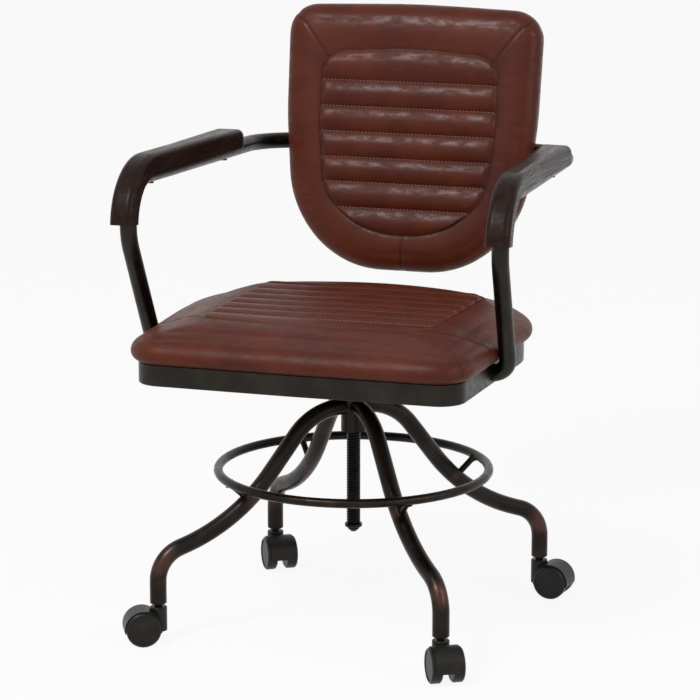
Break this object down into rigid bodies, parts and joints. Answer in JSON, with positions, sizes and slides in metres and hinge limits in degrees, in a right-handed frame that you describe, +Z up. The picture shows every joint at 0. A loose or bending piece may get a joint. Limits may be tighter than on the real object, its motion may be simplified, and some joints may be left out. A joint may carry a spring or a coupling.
{
  "type": "office chair",
  "caption": "Swivel office chair with channelled leather seat and back, bent-tube arms with wooden rests, screw-lift spindle, bent legs, foot ring and twin-wheel casters.",
  "frame": {"origin": "on the floor under the middle of the whole chair's bounding box", "axes": "+Z up, +X to the viewer's right with the chair facing the viewer, the chair's front towards -Y"},
  "size_m": [0.573, 0.6368, 0.8625],
  "materials": {
    "frame_steel": "satin black-brown paint with rubbed copper highlights on the base",
    "screw_steel": "blackened steel",
    "caster_plastic": "black, slightly glossy",
    "leather": "red-brown, soft sheen",
    "seat_plywood": "bare plywood",
    "armrest_wood": "dark red-brown, semi-gloss"
  },
  "bodies": {
    "base": {"hub_tube": "frame_steel", "lift_nut": "screw_steel", "foot_ring": "frame_steel", "ring_stubs": "frame_steel", "leg_front_left": "frame_steel", "leg_front_right": "frame_steel", "leg_rear_right": "frame_steel", "leg_rear_left": "frame_steel", "caster_socket_front_left": "caster_plastic", "caster_socket_front_right": "caster_plastic", "caster_socket_rear_right": "caster_plastic", "caster_socket_rear_left": "caster_plastic"},
    "stop_washer": {"stop_washer": "screw_steel"},
    "seat": {"spindle": "screw_steel", "spindle_end_screw": "screw_steel", "stop_sleeve": "frame_steel", "mounting_plate": "frame_steel", "plate_bolts": "screw_steel", "cross_bar_front": "frame_steel", "cross_bar_rear": "frame_steel", "seat_band": "frame_steel", "seat_board": "seat_plywood", "seat_cushion": "leather", "back_cushion": "leather", "back_board": "leather", "back_saddles": "frame_steel", "back_bolts": "screw_steel", "arm_frame": "frame_steel", "arm_end_nuts": "screw_steel", "arm_bolts": "screw_steel", "armrest_left": "armrest_wood", "armrest_right": "armrest_wood", "armrest_screws": "screw_steel"},
    "caster_front_left": {"caster_hood_front_left": "caster_plastic", "caster_stem_front_left": "screw_steel", "caster_axle_front_left": "screw_steel"},
    "wheel_left_front_left": {"wheel_left_front_left": "caster_plastic"},
    "wheel_right_front_left": {"wheel_right_front_left": "caster_plastic"},
    "caster_front_right": {"caster_hood_front_right": "caster_plastic", "caster_stem_front_right": "screw_steel", "caster_axle_front_right": "screw_steel"},
    "wheel_left_front_right": {"wheel_left_front_right": "caster_plastic"},
    "wheel_right_front_right": {"wheel_right_front_right": "caster_plastic"},
    "caster_rear_right": {"caster_hood_rear_right": "caster_plastic", "caster_stem_rear_right": "screw_steel", "caster_axle_rear_right": "screw_steel"},
    "wheel_left_rear_right": {"wheel_left_rear_right": "caster_plastic"},
    "wheel_right_rear_right": {"wheel_right_rear_right": "caster_plastic"},
    "caster_rear_left": {"caster_hood_rear_left": "caster_plastic", "caster_stem_rear_left": "screw_steel", "caster_axle_rear_left": "screw_steel"},
    "wheel_left_rear_left": {"wheel_left_rear_left": "caster_plastic"},
    "wheel_right_rear_left": {"wheel_right_rear_left": "caster_plastic"}
  },
  "joints": [
    {"name": "seat_lift", "type": "slide", "parent": "base", "child": "stop_washer", "axis": [0, 0, 1], "range_m": [0, 0.138]},
    {"name": "seat_turn", "type": "hinge", "parent": "stop_washer", "child": "seat", "pos_m": [0, -0.02453, 0], "axis": [0, 0, 1], "range_deg": [0, 12420]},
    {"name": "swivel_front_left", "type": "hinge", "parent": "base", "child": "caster_front_left", "pos_m": [-0.22899, -0.22219, 0.054], "axis": [0, 0, 1], "continuous": true},
    {"name": "roll_left_front_left", "type": "hinge", "parent": "caster_front_left", "child": "wheel_left_front_left", "pos_m": [-0.24975, -0.23277, 0.025], "axis": [0.454, -0.891, 0], "continuous": true},
    {"name": "roll_right_front_left", "type": "hinge", "parent": "caster_front_left", "child": "wheel_right_front_left", "pos_m": [-0.24975, -0.23277, 0.025], "axis": [0.454, -0.891, 0], "continuous": true},
    {"name": "swivel_front_right", "type": "hinge", "parent": "base", "child": "caster_front_right", "pos_m": [0.19766, -0.25352, 0.054], "axis": [0, 0, 1], "continuous": true},
    {"name": "roll_left_front_right", "type": "hinge", "parent": "caster_front_right", "child": "wheel_left_front_right", "pos_m": [0.20952, -0.27358, 0.025], "axis": [0.8607, 0.509, 0], "continuous": true},
    {"name": "roll_right_front_right", "type": "hinge", "parent": "caster_front_right", "child": "wheel_right_front_right", "pos_m": [0.20952, -0.27358, 0.025], "axis": [0.8607, 0.509, 0], "continuous": true},
    {"name": "swivel_rear_right", "type": "hinge", "parent": "base", "child": "caster_rear_right", "pos_m": [0.22899, 0.17313, 0.054], "axis": [0, 0, 1], "continuous": true},
    {"name": "roll_left_rear_right", "type": "hinge", "parent": "caster_rear_right", "child": "wheel_left_rear_right", "pos_m": [0.25218, 0.1709, 0.025], "axis": [0.0958, 0.9954, 0], "continuous": true},
    {"name": "roll_right_rear_right", "type": "hinge", "parent": "caster_rear_right", "child": "wheel_right_rear_right", "pos_m": [0.25218, 0.1709, 0.025], "axis": [0.0958, 0.9954, 0], "continuous": true},
    {"name": "swivel_rear_left", "type": "hinge", "parent": "base", "child": "caster_rear_left", "pos_m": [-0.19766, 0.20446, 0.054], "axis": [0, 0, 1], "continuous": true},
    {"name": "roll_left_rear_left", "type": "hinge", "parent": "caster_rear_left", "child": "wheel_left_rear_left", "pos_m": [-0.1849, 0.18496, 0.025], "axis": [0.8368, 0.5476, 0], "continuous": true},
    {"name": "roll_right_rear_left", "type": "hinge", "parent": "caster_rear_left", "child": "wheel_right_rear_left", "pos_m": [-0.1849, 0.18496, 0.025], "axis": [0.8368, 0.5476, 0], "continuous": true}
  ],
  "couplings": [
    {"joint": "seat_lift", "follows": "seat_turn", "m_per_rad": 0.00063662}
  ]
}
